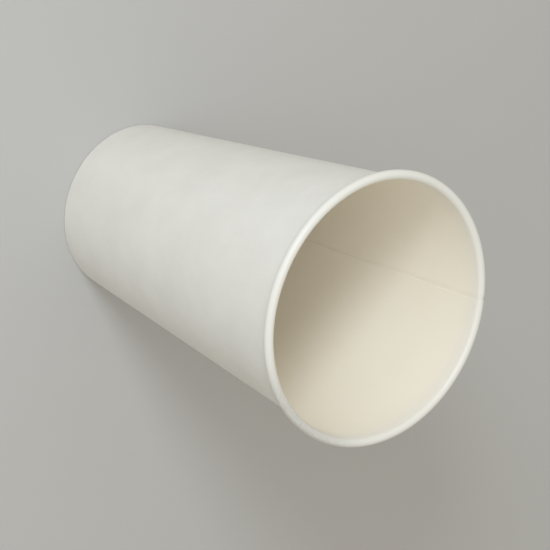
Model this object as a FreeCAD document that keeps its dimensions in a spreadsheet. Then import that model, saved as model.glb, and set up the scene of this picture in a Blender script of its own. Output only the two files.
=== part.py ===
import FreeCAD, Part
import math
import os

import Sketcher
from FreeCAD import Placement, Rotation, Vector

# A single wall paper cup. It stands on its foot at z = 0, on the z axis, with its mouth up.
# It is made of two sheets of board: the wall, with its rolled rim, side seam and folded foot,
# and the bottom, a dished disc whose skirt is held in the fold of the foot.
# All sizes are in millimetres, and angles in degrees.

os.makedirs("parts", exist_ok=True)
doc = FreeCAD.newDocument("paper_cup")

# Driving dimensions
sizes = doc.addObject("Spreadsheet::Sheet", "Sizes")
driving_dimensions = (
    ("rim_diameter", "90", "outside of the rolled rim"),
    ("foot_diameter", "60", "outside of the wall where its slope reaches the floor"),
    ("cup_height", "136", "floor to the top of the rim"),
    ("board", "0.35", "thickness of the wall's board"),
    ("roll_diameter", "3.0", "width of the rolled rim"),
    ("roll_gap", "0.02", "air between two turns of the roll"),
    ("roll_tail", "75", "turn of the roll past its first full turn, in degrees"),
    ("hem_height", "6.5", "floor to the cut edge of the foot's hem"),
    ("foot_press", "0.04", "depth by which the fold of the foot is pressed flat"),
    ("bottom_board", "0.30", "thickness of the bottom's board"),
    ("seal_gap", "0.02", "glue line on each side of the skirt"),
    ("recess", "8.5", "floor to the underside of the bottom"),
    ("skirt_rise", "1.2", "floor to the cut edge of the skirt"),
    ("bottom_corner", "0.9", "outside bend between the bottom and its skirt"),
    ("seam_lap", "7", "width of the overlap of the side seam at the rim"),
    ("seam_ramp", "1.8", "length over which the board climbs on to the overlap"),
    ("seam_tuck", "120", "turn of the overlap past the outside of the roll, in degrees"),
    ("seam_bond", "0.1", "depth by which the overlap is bonded to the wall below it"),
    ("seam_feather", "0.03", "depth at which the ramp runs out under the surface"),
)
for row, (alias, text, meaning) in enumerate(driving_dimensions, start=1):
    sizes.set(f"A{row}", alias)
    sizes.set(f"B{row}", text)
    sizes.set(f"C{row}", meaning)
    sizes.setAlias(f"B{row}", alias)
doc.recompute()

# Rules that follow from the driving dimensions, as expressions for the sketches
roll_radius = "(Sizes.roll_diameter / 2)"
roll_centre_r = f"(Sizes.rim_diameter / 2 - {roll_radius})"
roll_centre_z = f"(Sizes.cup_height - {roll_radius})"
lean = f"({roll_centre_r} - Sizes.foot_diameter / 2)"
taper = (
    f"(atan({lean} / {roll_centre_z})"
    f" - asin(({roll_radius} - Sizes.board) / sqrt({lean} ^ 2 + {roll_centre_z} ^ 2)))"
)
wall_angle = f"(90 deg - {taper})"
roll_shift = "((Sizes.board + Sizes.roll_gap) / 2)"
fold_inner = "(Sizes.bottom_board / 2 + Sizes.seal_gap)"
fold_outer = f"({fold_inner} + Sizes.board)"
fold_height = f"({fold_outer} - Sizes.foot_press)"
lap_angle = "(Sizes.seam_lap * 360 deg / (pi * Sizes.rim_diameter))"
ramp_angle = "(Sizes.seam_ramp * 360 deg / (pi * Sizes.rim_diameter))"


def number(rule):
    """The value of a rule: millimetres, or degrees for an angle."""
    result = sizes.evalExpression(rule)
    return result.Value if hasattr(result, "Value") else float(result)


# Directions in the plane of a section, where x is the radius and y the height
slope = math.radians(number(taper))
up_wall = Vector(math.sin(slope), math.cos(slope), 0)
off_wall = Vector(math.cos(slope), -math.sin(slope), 0)
foot_point = Vector(number("Sizes.foot_diameter / 2"), 0, 0)
roll_centre = Vector(number(roll_centre_r), number(roll_centre_z), 0)
tuck_centre = roll_centre + off_wall * number(roll_shift)
START, END, CENTRE = 1, 2, 3
ORIGIN = (-1, 1)
facing = Vector(0, 0, 1)


def origin_plane(body, role):
    for feature in body.Origin.OriginFeatures:
        if feature.Role == role:
            return feature


def new_sketch(body, name, turn=None, whole=False):
    """A sketch on an upright plane: across the cup for a whole turn, else at the seam or off it."""
    sketch = body.newObject("Sketcher::SketchObject", name)
    role = "XZ_Plane" if whole else "YZ_Plane"
    sketch.AttachmentSupport = [(origin_plane(body, role), "")]
    sketch.MapMode = "FlatFace"
    if turn:
        sketch.AttachmentOffset = Placement(Vector(), Rotation(Vector(0, 1, 0), number(turn)))
        sketch.setExpression("AttachmentOffset.Rotation.Angle", turn)
    return sketch


def line(sketch, start, end, construction=False):
    return sketch.addGeometry(Part.LineSegment(start, end), construction)


def arc(sketch, centre, radius, start_angle, end_angle):
    circle = Part.Circle(centre, facing, radius)
    return sketch.addGeometry(Part.ArcOfCircle(circle, start_angle, end_angle), False)


def tie(sketch, kind, *where):
    return sketch.addConstraint(Sketcher.Constraint(kind, *where))


def bind(sketch, name, rule, kind, *where):
    """A named constraint whose size follows a rule."""
    size = number(rule)
    if kind == "Angle":
        size = math.radians(size)
    index = tie(sketch, kind, *where, size)
    sketch.renameConstraint(index, name)
    sketch.setExpression("Constraints." + name, rule)


def board_face(sketch, radius_rule, low_rule, whole):
    """One face of the wall's board: up the wall and round the roll, at its radius in the roll."""
    radius = number(radius_rule)
    shift = number(roll_shift)
    offset = number(f"{roll_radius} - Sizes.board") - radius
    face = {}
    if whole:
        fold_radius = number(fold_outer) + offset
        fold_centre = fold_point(0)
        hem_top = fold_centre - off_wall * fold_radius
        hem_top = hem_top + up_wall * ((number("Sizes.hem_height") - hem_top.y) / up_wall.y)
        face["hem"] = line(sketch, hem_top, fold_centre - off_wall * fold_radius)
        face["fold"] = arc(sketch, fold_centre, fold_radius, math.pi - slope, 2 * math.pi - slope)
        low = fold_point(fold_radius)
    else:
        low = foot_point + up_wall * (number(low_rule) / up_wall.y) + off_wall * offset
    face["wall"] = line(sketch, low, roll_centre - off_wall * radius)
    face["over"] = arc(sketch, roll_centre, radius, -slope, math.pi - slope)
    tuck = math.pi if whole else math.radians(number("Sizes.seam_tuck"))
    face["under"] = arc(
        sketch, tuck_centre, radius - shift, 2 * math.pi - slope - tuck, 2 * math.pi - slope
    )
    if whole:
        tail = math.radians(number("Sizes.roll_tail"))
        face["tail"] = arc(
            sketch, roll_centre, radius - 2 * shift, math.pi - slope - tail, math.pi - slope
        )
        tie(sketch, "Tangent", face["hem"], END, face["fold"], START)
        tie(sketch, "Tangent", face["fold"], END, face["wall"], START)
        tie(sketch, "Tangent", face["under"], START, face["tail"], END)
        tie(sketch, "Parallel", face["hem"], face["wall"])
    tie(sketch, "Tangent", face["wall"], END, face["over"], END)
    tie(sketch, "Tangent", face["over"], START, face["under"], END)
    face["low"] = face["hem"] if whole else face["wall"]
    face["last"] = face["tail"] if whole else face["under"]
    return face


def fold_point(distance):
    """A point off the centre of the foot's fold, towards the outside of the wall."""
    radius = number(fold_outer)
    climb = (number(fold_height) - radius * math.sin(slope)) / math.cos(slope)
    return foot_point + up_wall * climb + off_wall * (distance - radius)


def board_section(body, name, inner_radius, outer_radius, low_rule, turn=None, whole=False):
    """The closed section between two faces of the wall's board."""
    sketch = new_sketch(body, name, turn, whole)
    inner = board_face(sketch, inner_radius, low_rule, whole)
    outer = board_face(sketch, outer_radius, low_rule, whole)
    ends = [
        (sketch.getPoint(inner[which], START), sketch.getPoint(outer[which], START))
        for which in ("low", "last")
    ]
    low_edge = line(sketch, ends[0][0], ends[0][1])
    cut_edge = line(sketch, ends[1][1], ends[1][0]) if whole else line(sketch, *ends[1])
    near, far = (outer, inner) if whole else (inner, outer)
    tie(sketch, "Coincident", low_edge, START, inner["low"], START)
    tie(sketch, "Coincident", low_edge, END, outer["low"], START)
    tie(sketch, "Coincident", cut_edge, START, near["last"], START)
    tie(sketch, "Coincident", cut_edge, END, far["last"], START)
    tie(sketch, "Coincident", inner["over"], CENTRE, outer["over"], CENTRE)
    tie(sketch, "Coincident", inner["under"], CENTRE, outer["under"], CENTRE)
    shift = line(sketch, roll_centre, tuck_centre, True)
    tie(sketch, "Coincident", shift, START, inner["over"], CENTRE)
    tie(sketch, "Coincident", shift, END, inner["under"], CENTRE)
    tie(sketch, "Perpendicular", shift, inner["wall"])
    tie(sketch, "Parallel", outer["wall"], inner["wall"])
    tie(sketch, "Perpendicular", low_edge, inner["low"])
    tie(sketch, "PointOnObject", inner["last"], CENTRE, cut_edge)
    if whole:
        tie(sketch, "Coincident", inner["tail"], CENTRE, inner["over"], CENTRE)
        tie(sketch, "Coincident", outer["tail"], CENTRE, inner["over"], CENTRE)
        tie(sketch, "Coincident", inner["fold"], CENTRE, outer["fold"], CENTRE)
        bind(sketch, "fold_radius", fold_outer, "Radius", outer["fold"])
        bind(sketch, "fold_height", fold_height, "DistanceY", *ORIGIN, outer["fold"], CENTRE)
    end_turn = "Sizes.roll_tail" if whole else "Sizes.seam_tuck"
    bind(sketch, "roll_centre_r", roll_centre_r, "DistanceX", *ORIGIN, inner["over"], CENTRE)
    bind(sketch, "roll_centre_z", roll_centre_z, "DistanceY", *ORIGIN, inner["over"], CENTRE)
    bind(sketch, "inner_radius", inner_radius, "Radius", inner["over"])
    bind(sketch, "outer_radius", outer_radius, "Radius", outer["over"])
    bind(sketch, "roll_shift", roll_shift, "Distance", shift)
    bind(sketch, "wall_angle", wall_angle, "Angle", inner["wall"])
    bind(sketch, "end_angle", f"180 deg - {taper} - {end_turn} * 1 deg", "Angle", cut_edge)
    bind(sketch, "low_height", low_rule, "DistanceY", *ORIGIN, outer["low"], START)
    return sketch


# Wall: one sheet, turned once round the cup
wall = doc.addObject("PartDesign::Body", "wall_blank")
face_outside = f"({roll_radius} - Sizes.board)"
wall_section = board_section(
    wall, "wall_section", roll_radius, face_outside, "Sizes.hem_height", whole=True
)
turned = wall.newObject("PartDesign::Revolution", "turned_wall")
turned.Profile = wall_section
turned.ReferenceAxis = (wall_section, ["V_Axis"])
turned.Angle = 360
doc.recompute()

# The fold of the foot is pressed flat on the floor, so that the cup has a ring to stand on
press_outline = wall.newObject("Sketcher::SketchObject", "press_outline")
press_outline.AttachmentSupport = [(origin_plane(wall, "XY_Plane"), "")]
press_outline.MapMode = "FlatFace"
press_radius = "(Sizes.foot_diameter / 2)"
press_circle = press_outline.addGeometry(Part.Circle(Vector(), facing, number(press_radius)), False)
tie(press_outline, "Coincident", press_circle, CENTRE, *ORIGIN)
bind(press_outline, "press_radius", press_radius, "Radius", press_circle)
pressed = wall.newObject("PartDesign::Pocket", "pressed_foot")
pressed.Profile = press_outline
pressed.setExpression("Length", fold_outer)
doc.recompute()

# Side seam: the outer flap lies on the wall, and the board climbs on to it up a short ramp
flap_inner = f"({roll_radius} - Sizes.board + Sizes.seam_bond)"
flap_outer = f"({roll_radius} - 2 * Sizes.board)"
flap_section = board_section(wall, "flap_section", flap_inner, flap_outer, fold_outer)
flap = wall.newObject("PartDesign::Revolution", "outer_flap")
flap.Profile = flap_section
flap.ReferenceAxis = (flap_section, ["V_Axis"])
flap.setExpression("Angle", lap_angle)
flap.Reversed = True
doc.recompute()

ramp_foot_radius = f"({roll_radius} - Sizes.board + Sizes.seam_feather)"
ramp_head = board_section(wall, "ramp_head", flap_inner, flap_outer, fold_outer)
ramp_foot = board_section(
    wall, "ramp_foot", flap_inner, ramp_foot_radius, fold_outer, turn=ramp_angle
)
ramp = wall.newObject("PartDesign::AdditiveLoft", "flap_ramp")
ramp.Profile = ramp_head
ramp.Sections = [ramp_foot]
ramp.Ruled = True
doc.recompute()

# The cut edge of the inner flap shows inside as a step, which fades out along the same ramp
step_inner = f"({roll_radius} + Sizes.seam_bond)"
step_foot_radius = f"({roll_radius} + Sizes.seam_feather)"
floor_top = "(Sizes.recess + Sizes.bottom_board)"
step = doc.addObject("PartDesign::Body", "seam_step")
step_head = board_section(step, "step_head", step_inner, face_outside, floor_top)
step_foot = board_section(
    step, "step_foot", step_inner, step_foot_radius, floor_top, turn=ramp_angle
)
step_loft = step.newObject("PartDesign::AdditiveLoft", "step_loft")
step_loft.Profile = step_head
step_loft.Sections = [step_foot]
step_loft.Ruled = True
doc.recompute()
sidewall = doc.addObject("Part::Feature", "sidewall")
sidewall.Label = "sidewall"
sidewall.Shape = wall.Shape.cut(step.Shape)

# Bottom: a disc of board whose edge is turned down into a skirt, held in the fold of the foot
bottom = doc.addObject("PartDesign::Body", "bottom")
bottom.Label = "bottom"
bottom_section = new_sketch(bottom, "bottom_section", whole=True)


def skirt_point(depth, height):
    """A point of the skirt, at a depth inside the outside of the wall."""
    low = foot_point - off_wall * depth
    return low + up_wall * ((height - low.y) / up_wall.y)


skirt_outer = "(Sizes.board + Sizes.seal_gap)"
corner_height = f"({floor_top} - Sizes.bottom_corner)"
corner_inner = "(Sizes.bottom_corner - Sizes.bottom_board)"
outer_depth = number(skirt_outer)
inner_depth = outer_depth + number("Sizes.bottom_board")
bend = number("Sizes.bottom_corner")
bend_depth = outer_depth + bend
bend_centre = skirt_point(bend_depth, number(corner_height))
skirt_low = skirt_point(outer_depth, number("Sizes.skirt_rise"))
skirt_low_inner = skirt_low - off_wall * number("Sizes.bottom_board")
top_z = number(floor_top)
under_z = number("Sizes.recess")
top_line = line(bottom_section, Vector(0, top_z, 0), Vector(bend_centre.x, top_z, 0))
top_bend = arc(bottom_section, bend_centre, bend, -slope, math.pi / 2)
outer_line = line(bottom_section, bend_centre + off_wall * bend, skirt_low)
skirt_edge = line(bottom_section, skirt_low, skirt_low_inner)
bend_inside = number(corner_inner)
inner_line = line(bottom_section, skirt_low_inner, bend_centre + off_wall * bend_inside)
under_bend = arc(bottom_section, bend_centre, bend_inside, -slope, math.pi / 2)
under_line = line(bottom_section, Vector(bend_centre.x, under_z, 0), Vector(0, under_z, 0))
axis_line = line(bottom_section, Vector(0, under_z, 0), Vector(0, top_z, 0))
tie(bottom_section, "Tangent", top_line, END, top_bend, END)
tie(bottom_section, "Tangent", top_bend, START, outer_line, START)
tie(bottom_section, "Coincident", outer_line, END, skirt_edge, START)
tie(bottom_section, "Coincident", skirt_edge, END, inner_line, START)
tie(bottom_section, "Tangent", inner_line, END, under_bend, START)
tie(bottom_section, "Tangent", under_bend, END, under_line, START)
tie(bottom_section, "Coincident", under_line, END, axis_line, START)
tie(bottom_section, "Coincident", axis_line, END, top_line, START)
tie(bottom_section, "Coincident", top_bend, CENTRE, under_bend, CENTRE)
tie(bottom_section, "Horizontal", top_line)
tie(bottom_section, "Horizontal", under_line)
tie(bottom_section, "PointOnObject", axis_line, START, -2)
tie(bottom_section, "PointOnObject", axis_line, END, -2)
tie(bottom_section, "Perpendicular", skirt_edge, outer_line)
tie(bottom_section, "Parallel", inner_line, outer_line)
bend_r = (
    f"(Sizes.foot_diameter / 2 - ({skirt_outer} + Sizes.bottom_corner) / cos({taper})"
    f" + {corner_height} * tan({taper}))"
)
bind(bottom_section, "bend_centre_r", bend_r, "DistanceX", *ORIGIN, top_bend, CENTRE)
bind(bottom_section, "bend_radius", "Sizes.bottom_corner", "Radius", top_bend)
bind(bottom_section, "recess", "Sizes.recess", "DistanceY", *ORIGIN, axis_line, START)
bind(bottom_section, "floor_top", floor_top, "DistanceY", *ORIGIN, axis_line, END)
bind(bottom_section, "skirt_rise", "Sizes.skirt_rise", "DistanceY", *ORIGIN, skirt_edge, START)
bind(bottom_section, "skirt_angle", f"(-90 deg - {taper})", "Angle", outer_line)
turned_bottom = bottom.newObject("PartDesign::Revolution", "turned_bottom")
turned_bottom.Profile = bottom_section
turned_bottom.ReferenceAxis = (bottom_section, ["V_Axis"])
turned_bottom.Angle = 360
doc.recompute()

# Each feature has to have done its work before anything is written
for item in doc.Objects:
    if "Invalid" in item.State or "Error" in item.State:
        raise RuntimeError(f"{item.Name} failed: {item.State}")
for sketch in doc.findObjects("Sketcher::SketchObject"):
    if not sketch.FullyConstrained:
        raise RuntimeError(f"{sketch.Name} is not fully constrained")
changes = (
    ("outer flap", pressed, flap, 1),
    ("flap ramp", flap, ramp, 1),
    ("inner step", ramp, sidewall, -1),
)
# A wedge of board over the whole height is the most that a ramp can hold. Each step of the seam
# has to change at least this share of it.
least_share = 0.2
least_change = least_share * number("Sizes.board * Sizes.seam_ramp * Sizes.cup_height / 2")
for meaning, before, after, sign in changes:
    change = after.Shape.Volume - before.Shape.Volume
    print(f"{meaning}: {change:.3f} cubic mm")
    if change * sign < least_change:
        raise RuntimeError(f"the {meaning} changed nothing")

pressed_off = turned.Shape.Volume - pressed.Shape.Volume
print(f"pressed foot: {pressed_off:.3f} cubic mm")
if pressed_off <= 0:
    raise RuntimeError("the foot is not pressed flat")

for piece in (sidewall, bottom):
    shape = piece.Shape
    if shape.isNull() or not shape.isValid() or len(shape.Solids) != 1:
        raise RuntimeError(f"{piece.Label} is not one valid solid")
    shape.exportStep(f"parts/{piece.Label}.step")
    box = shape.optimalBoundingBox(True, False)
    print(f"{piece.Label}: {shape.Volume:.1f} cubic mm, z {box.ZMin:.3f} to {box.ZMax:.3f}")
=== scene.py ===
import math

import bpy
from mathutils import Matrix, Vector


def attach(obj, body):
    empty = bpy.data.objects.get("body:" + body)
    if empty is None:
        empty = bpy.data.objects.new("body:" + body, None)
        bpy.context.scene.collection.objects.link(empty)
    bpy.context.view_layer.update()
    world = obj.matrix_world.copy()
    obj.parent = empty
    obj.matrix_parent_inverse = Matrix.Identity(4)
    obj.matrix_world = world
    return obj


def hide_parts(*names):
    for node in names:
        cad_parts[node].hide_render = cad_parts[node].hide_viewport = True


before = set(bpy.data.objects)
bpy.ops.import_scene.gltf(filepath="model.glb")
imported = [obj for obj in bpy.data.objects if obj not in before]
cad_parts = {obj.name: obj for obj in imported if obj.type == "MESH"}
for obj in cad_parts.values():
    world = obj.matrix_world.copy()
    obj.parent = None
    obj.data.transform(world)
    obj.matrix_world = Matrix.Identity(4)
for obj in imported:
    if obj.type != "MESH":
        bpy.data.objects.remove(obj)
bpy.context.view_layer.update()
scene = bpy.context.scene
scene.view_settings.view_transform = "Standard"

# The cup's wall: one sheet of bleached board with a plastic film on its inside. It is lapped and
# heat sealed along the side seam, its top edge is rolled outwards into the rim, and its bottom
# edge is folded inwards into a hem, which holds the skirt of the bottom.
mm = 0.001
rim_radius = 45.0 * mm
foot_radius = 30.0 * mm
cup_height = 136.0 * mm
wall_board = 0.35 * mm
roll_radius = 1.5 * mm
roll_gap = 0.02 * mm
roll_tail = math.radians(75)
hem_height = 6.5 * mm
fold_inside = 0.17 * mm
foot_press = 0.04 * mm
step_low = 8.8 * mm
seam_tuck = math.radians(120)
tuck_fade = 0.5
# Share and heights of the painted rim shading: a greyer tone painted on the roll and faded in below
# it
painted_rim_shading_share = 0.6
painted_rim_shading_from = 125 * mm
painted_rim_shading_to = 134 * mm
seam_press = 0.22 * mm
lap_angle = 7.0 * mm / rim_radius
ramp_angle = 2.4 * mm / rim_radius
lap_root = 0.3 * mm / rim_radius
lap_slack = 0.002 * mm
butt_gap = 0.02 * mm / rim_radius
climb_run = 0.03 * mm
hem_heights = (hem_height, 4.6 * mm, 2.6 * mm)
foot_heights = [2.5 * mm, 5.5 * mm]
step_heights = [step_low - 0.1 * mm, step_low + 0.4 * mm]
film_above = 0.76
plain_below = 0.24

roll_centre = Vector((rim_radius - roll_radius, cup_height - roll_radius))
wall_run = roll_centre - Vector((foot_radius, 0))
lean = math.atan(wall_run.x / wall_run.y)
taper = lean - math.asin((roll_radius - wall_board) / wall_run.length)
up_wall = Vector((math.sin(taper), math.cos(taper)))
off_wall = Vector((math.cos(taper), -math.sin(taper)))
roll_shift = (wall_board + roll_gap) / 2
fold_outside = fold_inside + wall_board
fold_climb = (fold_outside - foot_press - fold_outside * math.sin(taper)) / math.cos(taper)
fold_centre = Vector((foot_radius, 0)) + up_wall * fold_climb - off_wall * fold_outside


def spread(first, last, count):
    return [first + (last - first) * step / count for step in range(count + 1)]


def wall_face(depth, coarse, lap=False):
    """One face of the sheet as rows of place, push, climb at the seam, and share of the painted rim
    shading.
    """
    rows = []
    turn = 9 if coarse else 18
    low_line = roll_centre - off_wall * (roll_radius - depth)
    if not lap:
        radius = fold_inside + depth
        hem_line = fold_centre - off_wall * radius
        for height in hem_heights:
            place = hem_line + up_wall * ((height - hem_line.y) / up_wall.y)
            rows.append((place, -off_wall, 0.0, 0.0))
        for angle in spread(-math.pi - taper, -taper, 12):
            spoke = Vector((math.cos(angle), math.sin(angle)))
            place = fold_centre + spoke * radius
            place.y = max(place.y, 0.0)
            rows.append((place, spoke, 0.0, 0.0))
    climb_from = fold_outside + climb_run if coarse or depth > 0 else step_low
    heights = [climb_from - climb_run, climb_from] + foot_heights + step_heights
    heights += spread(14 * mm, 122 * mm, 18) + spread(127 * mm, 133 * mm, 4)
    lowest = climb_from if lap else fold_outside
    for height in sorted(height for height in heights if height >= lowest):
        place = low_line + up_wall * ((height - low_line.y) / up_wall.y)
        # Painted rim shading: the inside fades towards the roll's greyer tone over the last stretch
        # below the roll
        near_rim = min(max((height - painted_rim_shading_from) / (painted_rim_shading_to - painted_rim_shading_from), 0.0), 1.0)
        painted_rim_shading = near_rim ** 2 * painted_rim_shading_share
        rows.append((place, off_wall, float(height >= climb_from), painted_rim_shading))
    tuck_centre = roll_centre + off_wall * roll_shift
    for angle in spread(0, math.pi, turn):
        spoke = up_wall * math.sin(angle) - off_wall * math.cos(angle)
        painted_rim_shading = min(painted_rim_shading_share + angle, 1.0)
        rows.append((roll_centre + spoke * (roll_radius - depth), -spoke, 1.0, painted_rim_shading))
    last = seam_tuck if lap else math.pi
    for angle in spread(0, last, turn)[1:]:
        spoke = Vector((math.cos(-taper - angle), math.sin(-taper - angle)))
        climb = min(max((seam_tuck + tuck_fade - angle) / tuck_fade, 0.0), 1.0)
        place = tuck_centre + spoke * (roll_radius - roll_shift - depth)
        rows.append((place, -spoke, climb, 1.0))
    if not lap:
        for angle in spread(0, roll_tail, turn // 3)[1:]:
            around_in = math.pi - taper - angle
            spoke = Vector((math.cos(around_in), math.sin(around_in)))
            place = roll_centre + spoke * (roll_radius - 2 * roll_shift - depth)
            rows.append((place, -spoke, 0.0, 1.0))
    return rows


def section_mesh(name, loops):
    """Closed loops of (place, push, climb, roll and painted shading share, film side, flap) as a
    mesh of edges.
    """
    mesh = bpy.data.meshes.new(name)
    places = []
    edges = []
    values = {"from_axis": [], "height": [], "push_out": [], "push_up": [], "climb": [],
              "roll_and_painted_shading": [], "film_side": [], "flap": [], "along": []}
    for loop in loops:
        first = len(places)
        along = 0.0
        before = loop[0][0]
        for place, push, climb, roll_and_painted_shading, film_side, flap in loop:
            along += (place - before).length
            before = place
            edges.append((len(places), len(places) + 1))
            places.append((place.x, 0.0, place.y))
            row = (place.x, place.y, push.x, push.y, climb, roll_and_painted_shading, film_side, flap, along)
            for value, column in zip(row, values.values()):
                column.append(value)
        edges[-1] = (len(places) - 1, first)
    mesh.from_pydata(places, edges, [])
    for key, column in values.items():
        mesh.attributes.new(key, "FLOAT", "POINT").data.foreach_set("value", column)
    return mesh


def wall_loop(inner_depth, outer_depth, flap):
    inner = wall_face(inner_depth, False, flap)
    outer = wall_face(outer_depth, True, flap)
    flag = float(flap)
    loop = [(*row, 1.0, flag) for row in inner]
    return loop + [(*row, 0.0, flag) for row in reversed(outer)]


def add(tree, kind, **settings):
    """A node with its settings; in0, in1 and so on are a value or a link for that input."""
    node = tree.nodes.new(kind)
    for key, value in settings.items():
        if key[:2] == "in" and key[2:].isdigit():
            if isinstance(value, bpy.types.NodeSocket):
                tree.links.new(value, node.inputs[int(key[2:])])
            else:
                node.inputs[int(key[2:])].default_value = value
        else:
            setattr(node, key, value)
    return node


def maths(tree, operation, first, second=None, third=None):
    given = {f"in{index}": value for index, value in enumerate((first, second, third))
             if value is not None}
    return add(tree, "ShaderNodeMath", operation=operation, **given).outputs[0]


turned = bpy.data.node_groups.new("board turned round the cup", "GeometryNodeTree")
turned.interface.new_socket("Geometry", in_out="OUTPUT", socket_type="NodeSocketGeometry")
turned_inputs = {}
for label, kind in (
    ("Section", "NodeSocketGeometry"), ("Columns", "NodeSocketInt"),
    ("Lap columns", "NodeSocketInt"), ("Crowding", "NodeSocketFloat"),
    ("Seam step", "NodeSocketFloat"), ("Lap angle", "NodeSocketFloat"),
    ("Ramp angle", "NodeSocketFloat"), ("Open seam", "NodeSocketBool"),
    ("Lap root", "NodeSocketFloat"), ("Butt gap", "NodeSocketFloat"),
    ("Full height", "NodeSocketFloat"), ("Oval", "NodeSocketFloat"),
    ("Oval angle", "NodeSocketFloat"), ("Saddle", "NodeSocketFloat"),
    ("Saddle angle", "NodeSocketFloat"), ("Ripple", "NodeSocketFloat"),
    ("Ripple scale", "NodeSocketFloat"), ("Seed", "NodeSocketFloat"),
    ("Film side", "NodeSocketMaterial"), ("Plain side", "NodeSocketMaterial"),
    ("Cut edge", "NodeSocketMaterial"),
):
    socket = turned.interface.new_socket(label, in_out="INPUT", socket_type=kind)
    turned_inputs[label] = socket.identifier
given = add(turned, "NodeGroupInput").outputs


def named(tree, name):
    return add(tree, "GeometryNodeInputNamedAttribute", data_type="FLOAT", in0=name).outputs[0]


def strip(section, columns, open_seam):
    """A section drawn along a straight line, with the share of the way stored on each column."""
    rail = add(turned, "GeometryNodeCurvePrimitiveLine")
    count = maths(turned, "ADD", columns, 1.0)
    cut = add(turned, "GeometryNodeResampleCurve", in0=rail.outputs[0], in2=count)
    share = add(turned, "GeometryNodeSplineParameter").outputs["Factor"]
    marked = add(turned, "GeometryNodeStoreNamedAttribute", data_type="FLOAT", domain="POINT",
                 in0=cut.outputs[0], in2="share", in3=share)
    outline = add(turned, "GeometryNodeMeshToCurve", in0=section)
    drawn = add(turned, "GeometryNodeCurveToMesh", in0=marked.outputs[0], in1=outline.outputs[0])
    turned.links.new(open_seam, drawn.inputs["Fill Caps"])
    return drawn.outputs[0]


is_flap = maths(turned, "GREATER_THAN", named(turned, "flap"), 0.5)
parted = add(turned, "GeometryNodeSeparateGeometry", domain="POINT", in0=given["Section"],
             in1=is_flap)
wall_strip = strip(parted.outputs[1], given["Columns"], given["Open seam"])
flap_strip = strip(parted.outputs[0], given["Lap columns"], given["Open seam"])
both = add(turned, "GeometryNodeJoinGeometry")
turned.links.new(flap_strip, both.inputs[0])
turned.links.new(wall_strip, both.inputs[0])

# The wall turns once round from the seam, with more columns near the seam, and the flap goes on.
# A hairline stays between the ends of the hem, and the flap is rooted a little inside the wall.
full_turn = 2 * math.pi
share = named(turned, "share")
wave = maths(turned, "SINE", maths(turned, "MULTIPLY", share, full_turn))
crowd = maths(turned, "MULTIPLY", wave, maths(turned, "DIVIDE", given["Crowding"], full_turn))
round_once = maths(turned, "MULTIPLY", maths(turned, "SUBTRACT", share, crowd),
                   maths(turned, "SUBTRACT", full_turn, given["Butt gap"]))
flap_angle = maths(turned, "ADD", given["Lap angle"], given["Lap root"])
over_lap = maths(turned, "SUBTRACT", maths(turned, "MULTIPLY", share, flap_angle),
                 given["Lap root"])
flap_mark = maths(turned, "GREATER_THAN", named(turned, "flap"), 0.5)
swept = add(turned, "GeometryNodeSwitch", input_type="FLOAT", in0=flap_mark, in1=round_once,
            in2=over_lap).outputs[0]
azimuth = maths(turned, "SUBTRACT", math.pi / 2, swept)

# Near its end the board climbs by its own thickness, out on to the inner flap
left = maths(turned, "SUBTRACT", full_turn, round_once)
ramp = maths(turned, "DIVIDE", left, maths(turned, "MAXIMUM", given["Ramp angle"], 1e-6))
climbed = add(turned, "ShaderNodeMapRange", interpolation_type="SMOOTHSTEP", in0=ramp,
              in1=1.0, in2=0.0)
risen = climbed.outputs[0]
on_wall = maths(turned, "SUBTRACT", 1.0, flap_mark)
rise = maths(turned, "MULTIPLY", maths(turned, "MULTIPLY", risen, on_wall),
             maths(turned, "MULTIPLY", named(turned, "climb"), given["Seam step"]))

# The sheet is never quite true: a soft ripple, and a rim that is a little oval and twisted
height_share = maths(turned, "DIVIDE", named(turned, "height"), given["Full height"])
weight = maths(turned, "POWER", maths(turned, "MAXIMUM", height_share, 0.0), 2.0)
around = add(turned, "ShaderNodeCombineXYZ", in0=maths(turned, "COSINE", azimuth),
             in1=maths(turned, "SINE", azimuth), in2=height_share).outputs[0]
noise = add(turned, "ShaderNodeTexNoise", noise_dimensions="4D")
turned.links.new(around, noise.inputs["Vector"])
turned.links.new(given["Seed"], noise.inputs["W"])
turned.links.new(given["Ripple scale"], noise.inputs["Scale"])
noise.inputs["Detail"].default_value = 2.0
uneven = maths(turned, "SUBTRACT", noise.outputs[0], 0.5)
settle = maths(turned, "MINIMUM", maths(turned, "MULTIPLY", height_share, 8.0), 1.0)
ripple = maths(turned, "MULTIPLY", maths(turned, "MULTIPLY", uneven, settle), given["Ripple"])
push = maths(turned, "ADD", rise, ripple)


def twice_round(amount, angle):
    """A push that swells and sinks twice on the way round, and grows with the height."""
    turn = maths(turned, "MULTIPLY", maths(turned, "SUBTRACT", azimuth, angle), 2.0)
    swell = maths(turned, "MULTIPLY", maths(turned, "COSINE", turn), amount)
    return maths(turned, "MULTIPLY", swell, weight)


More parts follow.
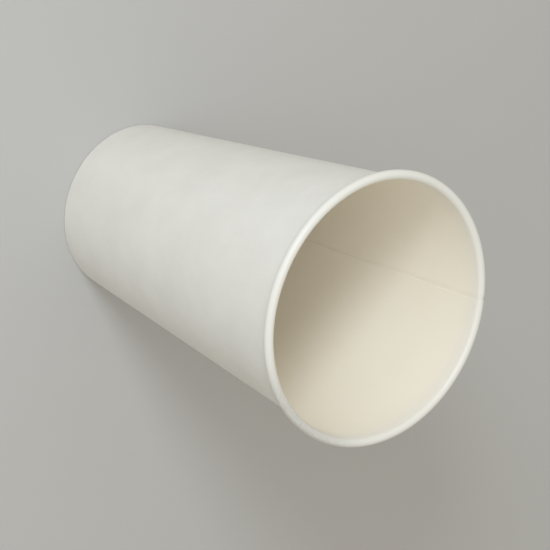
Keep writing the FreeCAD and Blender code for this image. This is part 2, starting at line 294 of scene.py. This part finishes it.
oval = twice_round(given["Oval"], given["Oval angle"])
saddle = twice_round(given["Saddle"], given["Saddle angle"])
radius = maths(turned, "MULTIPLY_ADD", named(turned, "push_out"), push, named(turned, "from_axis"))
radius = maths(turned, "ADD", radius, oval)
height = maths(turned, "MULTIPLY_ADD", named(turned, "push_up"), push, named(turned, "height"))
height = maths(turned, "ADD", height, saddle)
place = add(turned, "ShaderNodeCombineXYZ",
            in0=maths(turned, "MULTIPLY", radius, maths(turned, "COSINE", azimuth)),
            in1=maths(turned, "MULTIPLY", radius, maths(turned, "SINE", azimuth)), in2=height)
sheet = add(turned, "ShaderNodeCombineXYZ", in0=maths(turned, "MULTIPLY", swept, rim_radius),
            in1=named(turned, "along")).outputs[0]
mapped = add(turned, "GeometryNodeStoreNamedAttribute", data_type="FLOAT_VECTOR", domain="POINT",
             in0=both.outputs[0], in2="sheet", in3=sheet)
formed = add(turned, "GeometryNodeSetPosition", in0=mapped.outputs[0], in2=place.outputs[0])

# Each face keeps its finish as a number, while the wall and its flap become one closed sheet
film_share = named(turned, "film_side")
finish = maths(turned, "MULTIPLY", 0.5, maths(
    turned, "ADD", maths(turned, "GREATER_THAN", film_share, film_above),
    maths(turned, "GREATER_THAN", film_share, plain_below)))
sorted_out = add(turned, "GeometryNodeStoreNamedAttribute", data_type="FLOAT", domain="FACE",
                 in0=formed.outputs[0], in2="finish", in3=finish)
outward = add(turned, "GeometryNodeFlipFaces", in0=sorted_out.outputs[0])
lapped = add(turned, "GeometryNodeSeparateGeometry", domain="POINT", in0=outward.outputs[0],
             in1=flap_mark)
one_sheet = add(turned, "GeometryNodeMeshBoolean", operation="UNION", solver="MANIFOLD")
turned.links.new(lapped.outputs[1], one_sheet.inputs["Mesh 2"])
turned.links.new(lapped.outputs[0], one_sheet.inputs["Mesh 2"])
no_slivers = add(turned, "GeometryNodeMergeByDistance", in0=one_sheet.outputs[0], in2=1e-7)
merged = add(turned, "GeometryNodeMergeByDistance", in0=outward.outputs[0], in2=1e-6)
neighbours = add(turned, "GeometryNodeInputMeshEdgeNeighbors").outputs[0]
loose = maths(turned, "LESS_THAN", neighbours, 0.5)
closed = add(turned, "GeometryNodeDeleteGeometry", domain="EDGE", in0=merged.outputs[0], in1=loose)
joined = add(turned, "GeometryNodeSwitch", input_type="GEOMETRY", in0=given["Open seam"],
             in1=closed.outputs[0], in2=no_slivers.outputs[0])
real = add(turned, "GeometryNodeRealizeInstances", in0=joined.outputs[0])
smooth = add(turned, "GeometryNodeSetShadeSmooth", in0=real.outputs[0], in2=True)
is_film = maths(turned, "GREATER_THAN", named(turned, "finish"), film_above)
is_plain = maths(turned, "LESS_THAN", named(turned, "finish"), plain_below)
is_cut = maths(turned, "SUBTRACT", 1.0, maths(turned, "ADD", is_film, is_plain))
flat_ends = add(turned, "GeometryNodeSetShadeSmooth", in0=smooth.outputs[0], in1=is_cut, in2=False)
finished = flat_ends.outputs[0]
for where, label in ((True, "Film side"), (is_plain, "Plain side"), (is_cut, "Cut edge")):
    painted = add(turned, "GeometryNodeSetMaterial", in0=finished, in1=where)
    turned.links.new(given[label], painted.inputs["Material"])
    finished = painted.outputs[0]
outcome = add(turned, "NodeGroupOutput", in0=finished)


def turned_piece(name, mesh, **values):
    """The tree's result on a section, as a plain mesh object at the origin."""
    source = bpy.data.objects.new(name + "_section", mesh)
    scene.collection.objects.link(source)
    modifier = source.modifiers.new("turned", "NODES")
    modifier.node_group = turned
    for label, value in values.items():
        modifier[turned_inputs[label.replace("_", " ")]] = value
    graph = bpy.context.evaluated_depsgraph_get()
    solid = bpy.data.meshes.new_from_object(source.evaluated_get(graph), depsgraph=graph)
    bpy.data.objects.remove(source)
    if solid.materials[0] is None:
        solid.materials.pop(index=0)
    for key in ("share", "climb", "flap", "film_side", "finish", "from_axis", "height", "along",
                "push_up"):
        solid.attributes.remove(solid.attributes[key])
    piece = bpy.data.objects.new(name, solid)
    scene.collection.objects.link(piece)
    return piece


def surface_group():
    """Board surface: soft cloudy tone, short fibres, and a height for both."""
    group = bpy.data.node_groups.new("board surface", "ShaderNodeTree")
    for label, default in (("Cloud scale", 60.0), ("Fibre scale", 900.0), ("Cloud share", 0.4)):
        socket = group.interface.new_socket(label, in_out="INPUT", socket_type="NodeSocketFloat")
        socket.default_value = default
    for label in ("Cloud", "Fibre", "Height"):
        group.interface.new_socket(label, in_out="OUTPUT", socket_type="NodeSocketFloat")
    taken = add(group, "NodeGroupInput").outputs
    where = add(group, "ShaderNodeTexCoord").outputs["Object"]
    cloud = add(group, "ShaderNodeTexNoise", in0=where)
    group.links.new(taken["Cloud scale"], cloud.inputs["Scale"])
    cloud.inputs["Detail"].default_value = 5.0
    cloud.inputs["Roughness"].default_value = 0.62
    warp = add(group, "ShaderNodeTexNoise", in0=where)
    warp.inputs["Scale"].default_value = 240.0
    bent = add(group, "ShaderNodeVectorMath", operation="MULTIPLY_ADD", in0=warp.outputs["Color"],
               in1=(0.004, 0.004, 0.004), in2=where)
    stretched = add(group, "ShaderNodeMapping", in0=bent.outputs[0])
    stretched.inputs["Scale"].default_value = (1.0, 1.0, 0.35)
    fibre = add(group, "ShaderNodeTexNoise", in0=stretched.outputs[0])
    group.links.new(taken["Fibre scale"], fibre.inputs["Scale"])
    fibre.inputs["Detail"].default_value = 3.0
    fibre.inputs["Roughness"].default_value = 0.7
    height = add(group, "ShaderNodeMix", data_type="FLOAT")
    group.links.new(taken["Cloud share"], height.inputs["Factor"])
    group.links.new(fibre.outputs[0], height.inputs["A"])
    group.links.new(cloud.outputs[0], height.inputs["B"])
    result = add(group, "NodeGroupOutput")
    group.links.new(cloud.outputs[0], result.inputs["Cloud"])
    group.links.new(fibre.outputs[0], result.inputs["Fibre"])
    group.links.new(height.outputs[0], result.inputs["Height"])
    return group


board_surface = surface_group()


def board_material(name, light, dark, roughness, bump, specular, cloud_scale, fibre_scale):
    """Board of one finish: its tone runs between two colours, with the fibres as relief."""
    material = bpy.data.materials.new(name)
    material.use_nodes = True
    tree = material.node_tree
    shader = tree.nodes["Principled BSDF"]
    surface = add(tree, "ShaderNodeGroup", node_tree=board_surface)
    surface.inputs["Cloud scale"].default_value = cloud_scale
    surface.inputs["Fibre scale"].default_value = fibre_scale
    tone = add(tree, "ShaderNodeMapRange", in0=surface.outputs["Cloud"], in1=0.34, in2=0.66)
    colour = add(tree, "ShaderNodeMix", data_type="RGBA", in0=tone.outputs[0])
    colour.inputs["A"].default_value = (*dark, 1.0)
    colour.inputs["B"].default_value = (*light, 1.0)
    tree.links.new(colour.outputs["Result"], shader.inputs["Base Color"])
    shine = add(tree, "ShaderNodeMapRange", in0=surface.outputs["Fibre"])
    shine.inputs["To Min"].default_value = roughness - 0.06
    shine.inputs["To Max"].default_value = roughness + 0.06
    tree.links.new(shine.outputs[0], shader.inputs["Roughness"])
    shader.inputs["Specular IOR Level"].default_value = specular
    relief = add(tree, "ShaderNodeBump")
    relief.inputs["Strength"].default_value = 0.6
    relief.inputs["Distance"].default_value = bump
    tree.links.new(surface.outputs["Height"], relief.inputs["Height"])
    tree.links.new(relief.outputs[0], shader.inputs["Normal"])
    return material


def attribute(tree, name, output):
    return add(tree, "ShaderNodeAttribute", attribute_name=name).outputs[output]


def second_relief(tree, height, strength, distance):
    """A further relief on top of the board's own."""
    shader = tree.nodes["Principled BSDF"]
    relief = add(tree, "ShaderNodeBump")
    relief.inputs["Strength"].default_value = strength
    relief.inputs["Distance"].default_value = distance
    tree.links.new(height, relief.inputs["Height"])
    tree.links.new(shader.inputs["Normal"].links[0].from_socket, relief.inputs["Normal"])
    tree.links.new(relief.outputs[0], shader.inputs["Normal"])


# Film side: cream inside the cup. The roll gets a greyer, darker tone, faded in from 125 mm height:
# painted shade on the rim, with a painted soft gradient into its highlight. The roll is crinkled,
# most of all over one short stretch, where its tone is darker still: painted shade.
film_finish = board_material("film_coated_board", (0.945, 0.898, 0.808), (0.93, 0.883, 0.788),
                             roughness=0.44, bump=0.05 * mm, specular=0.5,
                             cloud_scale=45.0, fibre_scale=500.0)
film_tree = film_finish.node_tree
film_shader = film_tree.nodes["Principled BSDF"]
on_roll_and_painted_shading = attribute(film_tree, "roll_and_painted_shading", "Fac")
along_rim = add(film_tree, "ShaderNodeSeparateXYZ", in0=attribute(film_tree, "sheet", "Vector"))
# The crumpled stretch of the roll: its crinkles are strongest here, and its darker tone here is
# painted shade
crumpled_and_shaded_at = 100 * mm
crumpled_and_shaded_to = 34 * mm
fully_crumpled_and_shaded_to = 8 * mm
off_middle = maths(film_tree, "ABSOLUTE",
                   maths(film_tree, "SUBTRACT", along_rim.outputs[0], crumpled_and_shaded_at))
crumpled_and_painted_shade = add(film_tree, "ShaderNodeMapRange", interpolation_type="SMOOTHSTEP", in0=off_middle,
               in1=crumpled_and_shaded_to, in2=fully_crumpled_and_shaded_to)
slanted = add(film_tree, "ShaderNodeMapping", in0=attribute(film_tree, "sheet", "Vector"))
slanted.inputs["Rotation"].default_value = (0.0, 0.0, 0.35)
drawn_out = add(film_tree, "ShaderNodeMapping", in0=slanted.outputs[0])
drawn_out.inputs["Scale"].default_value = (0.22, 1.0, 1.0)
creases = add(film_tree, "ShaderNodeTexNoise", in0=drawn_out.outputs[0])
creases.inputs["Scale"].default_value = 1300.0
creases.inputs["Detail"].default_value = 2.0
off_crease = maths(film_tree, "ABSOLUTE", maths(film_tree, "SUBTRACT", creases.outputs[0], 0.5))
crease = add(film_tree, "ShaderNodeMapRange", in0=off_crease, in1=0.0, in2=0.12)
share_of_crease = add(film_tree, "ShaderNodeMapRange", in0=crumpled_and_painted_shade.outputs[0])
share_of_crease.inputs["To Min"].default_value = 0.12
share_of_crease.inputs["To Max"].default_value = 1.0
crinkle = maths(film_tree, "MULTIPLY", crease.outputs[0],
                maths(film_tree, "MULTIPLY", share_of_crease.outputs[0], on_roll_and_painted_shading))
second_relief(film_tree, crinkle, 0.9, 0.13 * mm)
inside_tone = film_shader.inputs["Base Color"].links[0].from_socket
# Painted shade on the roll: a greyer tone, darker still over the crumpled stretch
painted_roll_shade = add(film_tree, "ShaderNodeMix", data_type="RGBA", in0=crumpled_and_painted_shade.outputs[0])
painted_roll_shade.inputs["A"].default_value = (0.825, 0.82, 0.79, 1.0)
# Darker tone over the crumpled stretch: painted shade
painted_roll_shade.inputs["B"].default_value = (0.70, 0.695, 0.67, 1.0)
film_colour = add(film_tree, "ShaderNodeMix", data_type="RGBA", in0=on_roll_and_painted_shading)
film_tree.links.new(inside_tone, film_colour.inputs["A"])
film_tree.links.new(painted_roll_shade.outputs["Result"], film_colour.inputs["B"])
film_tree.links.new(film_colour.outputs["Result"], film_shader.inputs["Base Color"])

# Plain side: matte white, with the hem knurled by the tool that pressed it on to the skirt
plain_finish = board_material("plain_white_board", (0.84, 0.832, 0.802), (0.80, 0.792, 0.762),
                              roughness=0.78, bump=0.08 * mm, specular=0.3,
                              cloud_scale=70.0, fibre_scale=900.0)
plain_tree = plain_finish.node_tree
in_hem = add(plain_tree, "ShaderNodeMapRange", in0=attribute(plain_tree, "push_out", "Fac"),
             in1=-0.6, in2=-0.9)
plain_sheet = add(plain_tree, "ShaderNodeSeparateXYZ", in0=attribute(plain_tree, "sheet", "Vector"))
rib_count = 130
ribs = maths(plain_tree, "SINE", maths(plain_tree, "MULTIPLY", plain_sheet.outputs[0],
                                       rib_count / rim_radius))
knurl = maths(plain_tree, "MULTIPLY", ribs, in_hem.outputs[0])
second_relief(plain_tree, knurl, 0.8, 0.15 * mm)

# Cut edges: the bare fibres of the board
cut_finish = board_material("cut_board_edge", (0.90, 0.88, 0.81), (0.80, 0.775, 0.70),
                            roughness=0.9, bump=0.08 * mm, specular=0.2,
                            cloud_scale=300.0, fibre_scale=1500.0)

wall_mesh = section_mesh("wall_section", [
    wall_loop(0.0, wall_board, False),
    wall_loop(seam_press + lap_slack, seam_press + wall_board - lap_slack, True)])
paper_wall = turned_piece(
    "paper_wall", wall_mesh, Columns=560, Lap_columns=14, Crowding=0.7, Seam_step=seam_press,
    Lap_angle=lap_angle, Ramp_angle=ramp_angle, Lap_root=lap_root, Butt_gap=butt_gap,
    Open_seam=True, Full_height=cup_height,
    Oval=0.264 * mm, Oval_angle=math.radians(7.6), Saddle=0.330 * mm,
    Saddle_angle=math.radians(49.8), Ripple=0.12 * mm, Ripple_scale=2.2, Seed=3.0,
    Film_side=film_finish, Plain_side=plain_finish, Cut_edge=cut_finish)
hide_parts("sidewall")
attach(paper_wall, "root")

# The bottom: a disc of thinner board, punched out and drawn into a shallow cap. Its skirt goes
# down inside the wall and is sealed in the hem, so the cup stands on the fold and not on the disc.
bottom_board = 0.30 * mm
recess = 8.5 * mm
corner = 0.9 * mm
skirt_rise = 1.2 * mm
seal_gap = 0.02 * mm
bend_depth = wall_board + seal_gap + corner
bend_line = Vector((foot_radius, 0)) - off_wall * bend_depth
bend_centre = bend_line + up_wall * ((recess + bottom_board - corner - bend_line.y) / up_wall.y)


def bottom_face(bend, height):
    """One face of the disc, from its middle out, round the bend and down the skirt."""
    rows = []
    for reach in spread(0.0, bend_centre.x, 12)[:-1]:
        rows.append((Vector((reach, height)), Vector((0.0, 1.0)), 0.0, 0.0))
    for angle in spread(math.pi / 2, -taper, 8):
        spoke = Vector((math.cos(angle), math.sin(angle)))
        rows.append((bend_centre + spoke * bend, spoke, 0.0, 0.0))
    skirt_line = bend_centre + off_wall * bend
    low_line = bend_centre + off_wall * corner
    low_line = low_line + up_wall * ((skirt_rise - low_line.y) / up_wall.y)
    low_line = low_line + off_wall * (bend - corner)
    for step in (0.35, 0.7, 1.0):
        rows.append((skirt_line.lerp(low_line, step), off_wall, 0.0, 0.0))
    return rows


bottom_loop = [(*row, 1.0, 0.0) for row in bottom_face(corner, recess + bottom_board)]
bottom_loop += [(*row, 0.0, 0.0) for row in reversed(bottom_face(corner - bottom_board, recess))]
paper_bottom = turned_piece(
    "paper_bottom", section_mesh("bottom_section", [bottom_loop]), Columns=360, Lap_columns=1,
    Crowding=0.0, Seam_step=0.0, Lap_angle=0.0, Ramp_angle=0.0, Lap_root=0.0, Butt_gap=0.0,
    Open_seam=False, Full_height=cup_height, Oval=0.0, Oval_angle=0.0, Saddle=0.0,
    Saddle_angle=0.0, Ripple=0.0, Ripple_scale=1.0, Seed=5.0, Film_side=film_finish,
    Plain_side=plain_finish, Cut_edge=cut_finish)
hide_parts("bottom")
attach(paper_bottom, "root")

# The floor: a wide sheet of pale grey, with its faint clouding
floor_mesh = bpy.data.meshes.new("floor")
reach = 6.0
corners = [(-reach, -reach, 0.0), (reach, -reach, 0.0), (reach, reach, 0.0), (-reach, reach, 0.0)]
floor_mesh.from_pydata(corners, [], [(0, 1, 2, 3)])
floor = bpy.data.objects.new("floor", floor_mesh)
scene.collection.objects.link(floor)
floor_finish = board_material("floor_grey", (0.56, 0.56, 0.565), (0.54, 0.54, 0.545),
                              roughness=0.7, bump=0.02 * mm, specular=0.3,
                              cloud_scale=3.0, fibre_scale=120.0)
floor_mesh.materials.append(floor_finish)

# Camera: it looks at the standing cup from the side on which the photograph shows the lying one,
# down into the mouth, and is turned about its line of sight so that the cup lies in the frame.
eye = Vector((-0.194700, -0.495615, 0.685268))
sight = Vector((0.24521, 0.61536, -0.74914)).normalized()
head_up = Vector((-0.96316, 0.06663, -0.26054))
camera_data = bpy.data.cameras.new("camera")
camera_data.lens = 159.66
camera_data.sensor_width = 36.0
camera_data.clip_start = 0.01
camera = bpy.data.objects.new("camera", camera_data)
scene.collection.objects.link(camera)
right = sight.cross(head_up).normalized()
up = right.cross(sight)
camera.matrix_world = Matrix.Translation(eye) @ Matrix((right, up, -sight)).transposed().to_4x4()
scene.camera = camera

# Studio light: two large soft lamps, one above the camera and one beside it, and an even fill
world = bpy.data.worlds.new("studio")
scene.world = world
world.use_nodes = True
world.node_tree.nodes["Background"].inputs["Color"].default_value = (1.0, 0.95, 0.83, 1.0)
world.node_tree.nodes["Background"].inputs["Strength"].default_value = 0.56
mouth = Vector((0.0, 0.0, cup_height))
lamp_distance = 0.9
for label, direction, size, power, tint in (
    ("key", (-0.5550, -0.5850, 0.5250), 0.26, 3.25, (0.872, 0.95, 1.0)),
    ("front", (-0.2452, -0.6154, 0.7491), 0.55, 1.5, (0.96, 0.985, 1.0)),
):
    lamp_data = bpy.data.lights.new(label, "AREA")
    lamp_data.shape = "DISK"
    lamp_data.size = size
    lamp_data.energy = power
    lamp_data.color = tint
    lamp = bpy.data.objects.new(label, lamp_data)
    scene.collection.objects.link(lamp)
    lamp.location = mouth + Vector(direction).normalized() * lamp_distance
    lamp.rotation_mode = "QUATERNION"
    lamp.rotation_quaternion = Vector(direction).to_track_quat("Z", "Y")
